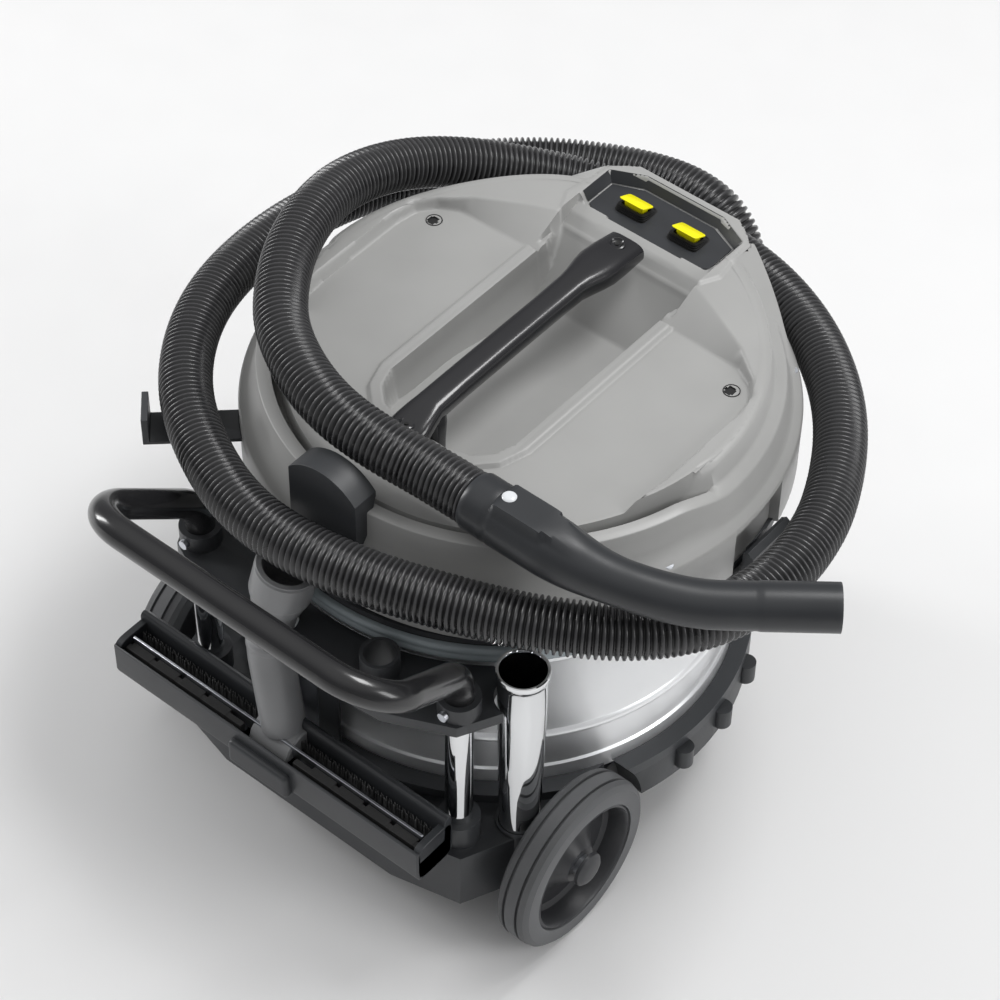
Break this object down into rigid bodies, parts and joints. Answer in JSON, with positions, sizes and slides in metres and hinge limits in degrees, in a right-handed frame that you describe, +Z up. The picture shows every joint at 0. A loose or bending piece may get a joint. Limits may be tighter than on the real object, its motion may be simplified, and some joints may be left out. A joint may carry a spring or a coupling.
{
  "type": "shop vacuum",
  "caption": "Two-motor wet and dry vacuum on a wheeled chassis, with a steel container, a lift-off head, a coiled hose, a push bow and a floor nozzle parked at the back.",
  "frame": {"origin": "on the floor under the container's axis, midway between the front of the inlet elbow and the back of the push bow", "axes": "+Z up; -Y towards the switch housing and the inlet; +Y towards the push bow and the parked nozzle"},
  "size_m": [0.734, 0.7359, 0.5008],
  "materials": {
    "dark_plastic": "fine moulded grain, anthracite",
    "grey_plastic": "fine moulded grain, warm light grey",
    "panel_plastic": "satin anthracite",
    "handle_plastic": "smooth black",
    "tool_plastic": "satin black",
    "hose_plastic": "corrugated, satin black",
    "button_plastic": "smooth pale grey",
    "bezel_plastic": "ribbed black",
    "rocker_yellow": "smooth yellow",
    "neck_plastic": "satin dark grey",
    "hub_plastic": "moulded dark grey",
    "castor_plastic": "moulded dark grey",
    "float_plastic": "natural white",
    "steel": "brushed round the container",
    "motor_steel": "plain pressed steel",
    "zinc": "zinc plated",
    "chrome": "polished chrome plate",
    "band_coat": "satin blue grey",
    "black_coat": "semi-gloss black powder coat",
    "rubber": "matt black rubber",
    "tyre": "grey-black solid rubber with two grooves",
    "bristle": "dense black bristle",
    "filter_paper": "pleated paper"
  },
  "bodies": {
    "base": {"chassis": "dark_plastic", "chassis_rim": "dark_plastic", "container": "steel", "container_band": "band_coat", "inlet_elbow": "dark_plastic", "rear_axle": "zinc", "axle_caps": "dark_plastic", "post_left": "chrome", "post_right": "chrome", "tube_shelf": "dark_plastic", "push_bow": "black_coat", "bow_screws": "zinc", "latch_bracket_left": "dark_plastic", "latch_bracket_right": "dark_plastic", "latch_pin_left": "zinc", "latch_pin_right": "zinc"},
    "head": {"head_base": "dark_plastic", "head_seal": "rubber", "head_cover": "grey_plastic", "switch_panel": "panel_plastic", "switch_bezel_left": "bezel_plastic", "switch_bezel_right": "bezel_plastic", "carry_handle": "handle_plastic", "handle_screws": "zinc", "rear_hook": "dark_plastic", "side_hook": "dark_plastic", "motor_left": "motor_steel", "motor_right": "motor_steel", "motor_plate": "zinc", "filter_cartridge": "filter_paper", "float_cage": "dark_plastic", "cable_gland": "rubber", "cover_screws": "zinc", "hose": "hose_plastic", "hose_connector": "tool_plastic", "hand_tube": "tool_plastic"},
    "wheel_left": {"tyre_left": "tyre", "hub_left": "hub_plastic"},
    "wheel_right": {"tyre_right": "tyre", "hub_right": "hub_plastic"},
    "castor_left": {"castor_fork_left": "zinc", "castor_axle_left": "zinc"},
    "castor_right": {"castor_fork_right": "zinc", "castor_axle_right": "zinc"},
    "castor_roller_left": {"castor_wheel_left": "castor_plastic"},
    "castor_roller_right": {"castor_wheel_right": "castor_plastic"},
    "latch_left": {"latch_left": "dark_plastic"},
    "latch_right": {"latch_right": "dark_plastic"},
    "rocker_left": {"rocker_left": "rocker_yellow"},
    "rocker_right": {"rocker_right": "rocker_yellow"},
    "fan_left": {"impeller_left": "zinc"},
    "fan_right": {"impeller_right": "zinc"},
    "float": {"float_valve": "float_plastic"},
    "release_button": {"release_button": "button_plastic"},
    "suction_tube": {"suction_tube": "chrome"},
    "neck": {"nozzle_neck": "neck_plastic"},
    "nozzle": {"nozzle_body": "tool_plastic", "nozzle_pivot": "zinc", "nozzle_rubber_strip": "rubber", "nozzle_brush_strip": "bristle"}
  },
  "joints": [
    {"name": "wheel_left_spin", "type": "hinge", "parent": "base", "child": "wheel_left", "pos_m": [0.2205, 0.1635, 0.085], "axis": [1, 0, 0], "continuous": true},
    {"name": "castor_left_swivel", "type": "hinge", "parent": "base", "child": "castor_left", "pos_m": [0.13, -0.14, 0.09], "axis": [0, 0, 1], "continuous": true},
    {"name": "castor_left_roll", "type": "hinge", "parent": "castor_left", "child": "castor_roller_left", "pos_m": [0.13, -0.116, 0.036], "axis": [1, 0, 0], "continuous": true},
    {"name": "latch_left_turn", "type": "hinge", "parent": "base", "child": "latch_left", "pos_m": [0.238, -0.05, 0.29], "axis": [0, 1, 0], "range_deg": [0, 80]},
    {"name": "rocker_left_tilt", "type": "hinge", "parent": "head", "child": "rocker_left", "pos_m": [0.0295, -0.226, 0.436], "axis": [-1, 0, 0], "range_deg": [0, 12]},
    {"name": "fan_left_spin", "type": "hinge", "parent": "head", "child": "fan_left", "pos_m": [0.128, -0.028, 0.331], "axis": [0, 0, 1], "continuous": true},
    {"name": "wheel_right_spin", "type": "hinge", "parent": "base", "child": "wheel_right", "pos_m": [-0.2205, 0.1635, 0.085], "axis": [1, 0, 0], "continuous": true},
    {"name": "castor_right_swivel", "type": "hinge", "parent": "base", "child": "castor_right", "pos_m": [-0.13, -0.14, 0.09], "axis": [0, 0, 1], "continuous": true},
    {"name": "castor_right_roll", "type": "hinge", "parent": "castor_right", "child": "castor_roller_right", "pos_m": [-0.13, -0.116, 0.036], "axis": [1, 0, 0], "continuous": true},
    {"name": "latch_right_turn", "type": "hinge", "parent": "base", "child": "latch_right", "pos_m": [-0.238, -0.05, 0.29], "axis": [0, -1, 0], "range_deg": [0, 80]},
    {"name": "rocker_right_tilt", "type": "hinge", "parent": "head", "child": "rocker_right", "pos_m": [-0.0295, -0.226, 0.436], "axis": [-1, 0, 0], "range_deg": [0, 12]},
    {"name": "fan_right_spin", "type": "hinge", "parent": "head", "child": "fan_right", "pos_m": [-0.128, -0.028, 0.331], "axis": [0, 0, 1], "continuous": true},
    {"name": "head_lift", "type": "slide", "parent": "base", "child": "head", "axis": [0, 0, 1], "range_m": [0, 0.3]},
    {"name": "float_rise", "type": "slide", "parent": "head", "child": "float", "axis": [0, 0, 1], "range_m": [0, 0.024]},
    {"name": "release_button_press", "type": "slide", "parent": "head", "child": "release_button", "axis": [0, 0, -1], "range_m": [0, 0.003], "stiffness_N_per_m": 600, "springref_m": -0.001},
    {"name": "suction_tube_lift", "type": "slide", "parent": "base", "child": "suction_tube", "axis": [0, 0, 1], "range_m": [0, 0.038]},
    {"name": "nozzle_pull", "type": "slide", "parent": "base", "child": "neck", "axis": [0, 1, 0], "range_m": [0, 0.15]},
    {"name": "nozzle_tilt", "type": "hinge", "parent": "neck", "child": "nozzle", "pos_m": [0.02, 0.269, 0.16], "axis": [1, 0, 0], "range_deg": [-6, 20]}
  ]
}
